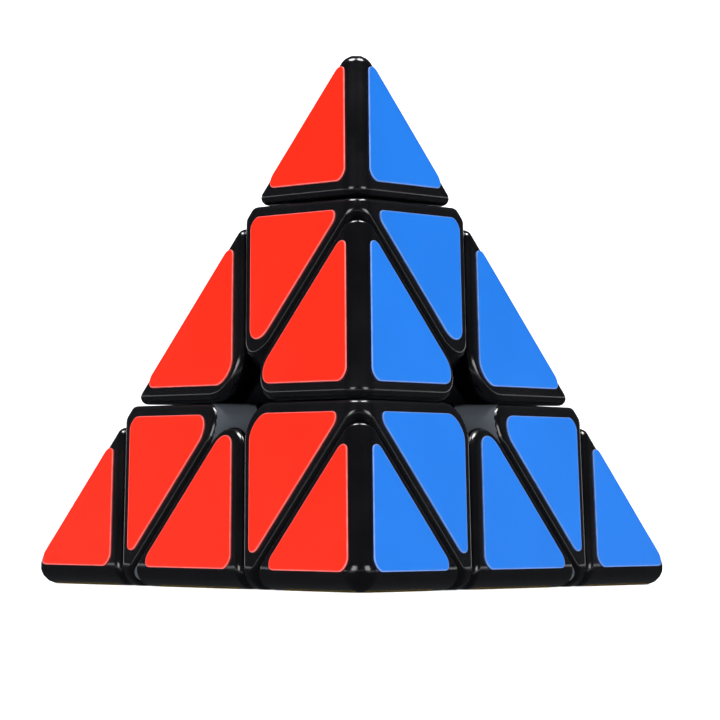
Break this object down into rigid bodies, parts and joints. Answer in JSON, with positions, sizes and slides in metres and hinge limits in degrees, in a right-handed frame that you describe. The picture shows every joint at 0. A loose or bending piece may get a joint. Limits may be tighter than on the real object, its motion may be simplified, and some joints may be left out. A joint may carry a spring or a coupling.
{
  "type": "pyramid twisty puzzle",
  "caption": "Pyramid-shaped twisty puzzle with turning tips and corner layers, glossy black plastic pieces with a coloured sticker on each outer facet.",
  "frame": {"origin": "centre of the core, where the four turning axes meet, which is the centroid", "axes": "+Z through the top tip, -Y towards the front corner, +X towards the right corner"},
  "size_m": [0.0982, 0.0854, 0.0804],
  "materials": {
    "black_plastic": "gloss",
    "grey_plastic": "satin",
    "steel": "zinc plated",
    "red_sticker": "satin vinyl",
    "blue_sticker": "satin vinyl",
    "green_sticker": "satin vinyl",
    "yellow_sticker": "satin vinyl"
  },
  "bodies": {
    "root": {"core": "grey_plastic", "axis_screws": "steel", "axis_springs": "steel", "axis_washers": "steel"},
    "layer_top": {"axial_top": "black_plastic", "tip_post_top": "grey_plastic", "sticker_green_axial_top": "green_sticker", "sticker_red_axial_top": "red_sticker", "sticker_blue_axial_top": "blue_sticker"},
    "layer_front": {"axial_front": "black_plastic", "tip_post_front": "grey_plastic", "sticker_yellow_axial_front": "yellow_sticker", "sticker_red_axial_front": "red_sticker", "sticker_blue_axial_front": "blue_sticker"},
    "layer_right": {"axial_right": "black_plastic", "tip_post_right": "grey_plastic", "sticker_yellow_axial_right": "yellow_sticker", "sticker_green_axial_right": "green_sticker", "sticker_blue_axial_right": "blue_sticker"},
    "layer_left": {"axial_left": "black_plastic", "tip_post_left": "grey_plastic", "sticker_yellow_axial_left": "yellow_sticker", "sticker_green_axial_left": "green_sticker", "sticker_red_axial_left": "red_sticker"},
    "tip_top": {"tip_top": "black_plastic", "sticker_green_tip_top": "green_sticker", "sticker_red_tip_top": "red_sticker", "sticker_blue_tip_top": "blue_sticker"},
    "tip_front": {"tip_front": "black_plastic", "sticker_yellow_tip_front": "yellow_sticker", "sticker_red_tip_front": "red_sticker", "sticker_blue_tip_front": "blue_sticker"},
    "tip_right": {"tip_right": "black_plastic", "sticker_yellow_tip_right": "yellow_sticker", "sticker_green_tip_right": "green_sticker", "sticker_blue_tip_right": "blue_sticker"},
    "tip_left": {"tip_left": "black_plastic", "sticker_yellow_tip_left": "yellow_sticker", "sticker_green_tip_left": "green_sticker", "sticker_red_tip_left": "red_sticker"},
    "edge_top_front": {"edge_top_front": "black_plastic", "sticker_blue_edge_top_front": "blue_sticker", "sticker_red_edge_top_front": "red_sticker"},
    "edge_top_right": {"edge_top_right": "black_plastic", "sticker_blue_edge_top_right": "blue_sticker", "sticker_green_edge_top_right": "green_sticker"},
    "edge_top_left": {"edge_top_left": "black_plastic", "sticker_red_edge_top_left": "red_sticker", "sticker_green_edge_top_left": "green_sticker"},
    "edge_front_right": {"edge_front_right": "black_plastic", "sticker_blue_edge_front_right": "blue_sticker", "sticker_yellow_edge_front_right": "yellow_sticker"},
    "edge_right_left": {"edge_right_left": "black_plastic", "sticker_green_edge_right_left": "green_sticker", "sticker_yellow_edge_right_left": "yellow_sticker"},
    "edge_left_front": {"edge_left_front": "black_plastic", "sticker_red_edge_left_front": "red_sticker", "sticker_yellow_edge_left_front": "yellow_sticker"}
  },
  "joints": [
    {"name": "top_layer_turn", "type": "hinge", "parent": "root", "child": "layer_top", "pos_m": [0, 0, 0], "axis": [0, 0, 1], "range_deg": [-240, 120]},
    {"name": "front_layer_turn", "type": "hinge", "parent": "root", "child": "layer_front", "pos_m": [0, 0, 0], "axis": [0, -0.9428, -0.3333], "range_deg": [-240, 120]},
    {"name": "right_layer_turn", "type": "hinge", "parent": "root", "child": "layer_right", "pos_m": [0, 0, 0], "axis": [0.8165, 0.4714, -0.3333], "range_deg": [-240, 120]},
    {"name": "left_layer_turn", "type": "hinge", "parent": "root", "child": "layer_left", "pos_m": [0, 0, 0], "axis": [-0.8165, 0.4714, -0.3333], "range_deg": [-240, 120]},
    {"name": "top_tip_turn", "type": "hinge", "parent": "layer_top", "child": "tip_top", "pos_m": [0, 0, 0], "axis": [0, 0, 1], "continuous": true},
    {"name": "front_tip_turn", "type": "hinge", "parent": "layer_front", "child": "tip_front", "pos_m": [0, 0, 0], "axis": [0, -0.9428, -0.3333], "continuous": true},
    {"name": "right_tip_turn", "type": "hinge", "parent": "layer_right", "child": "tip_right", "pos_m": [0, 0, 0], "axis": [0.8165, 0.4714, -0.3333], "continuous": true},
    {"name": "left_tip_turn", "type": "hinge", "parent": "layer_left", "child": "tip_left", "pos_m": [0, 0, 0], "axis": [-0.8165, 0.4714, -0.3333], "continuous": true},
    {"name": "edge_top_front_follow", "type": "hinge", "parent": "layer_top", "child": "edge_top_front", "pos_m": [0, 0, 0], "axis": [0, -0.9428, -0.3333], "range_deg": [-240, 120]},
    {"name": "edge_top_right_follow", "type": "hinge", "parent": "layer_top", "child": "edge_top_right", "pos_m": [0, 0, 0], "axis": [0.8165, 0.4714, -0.3333], "range_deg": [-240, 120]},
    {"name": "edge_top_left_follow", "type": "hinge", "parent": "layer_top", "child": "edge_top_left", "pos_m": [0, 0, 0], "axis": [-0.8165, 0.4714, -0.3333], "range_deg": [-240, 120]},
    {"name": "edge_front_right_follow", "type": "hinge", "parent": "layer_front", "child": "edge_front_right", "pos_m": [0, 0, 0], "axis": [0.8165, 0.4714, -0.3333], "range_deg": [-240, 120]},
    {"name": "edge_right_left_follow", "type": "hinge", "parent": "layer_right", "child": "edge_right_left", "pos_m": [0, 0, 0], "axis": [-0.8165, 0.4714, -0.3333], "range_deg": [-240, 120]},
    {"name": "edge_left_front_follow", "type": "hinge", "parent": "layer_left", "child": "edge_left_front", "pos_m": [0, 0, 0], "axis": [0, -0.9428, -0.3333], "range_deg": [-240, 120]}
  ],
  "couplings": [
    {"joint": "edge_top_front_follow", "follows": "front_layer_turn", "ratio": 1},
    {"joint": "edge_top_right_follow", "follows": "right_layer_turn", "ratio": 1},
    {"joint": "edge_top_left_follow", "follows": "left_layer_turn", "ratio": 1},
    {"joint": "edge_front_right_follow", "follows": "right_layer_turn", "ratio": 1},
    {"joint": "edge_right_left_follow", "follows": "left_layer_turn", "ratio": 1},
    {"joint": "edge_left_front_follow", "follows": "front_layer_turn", "ratio": 1}
  ]
}
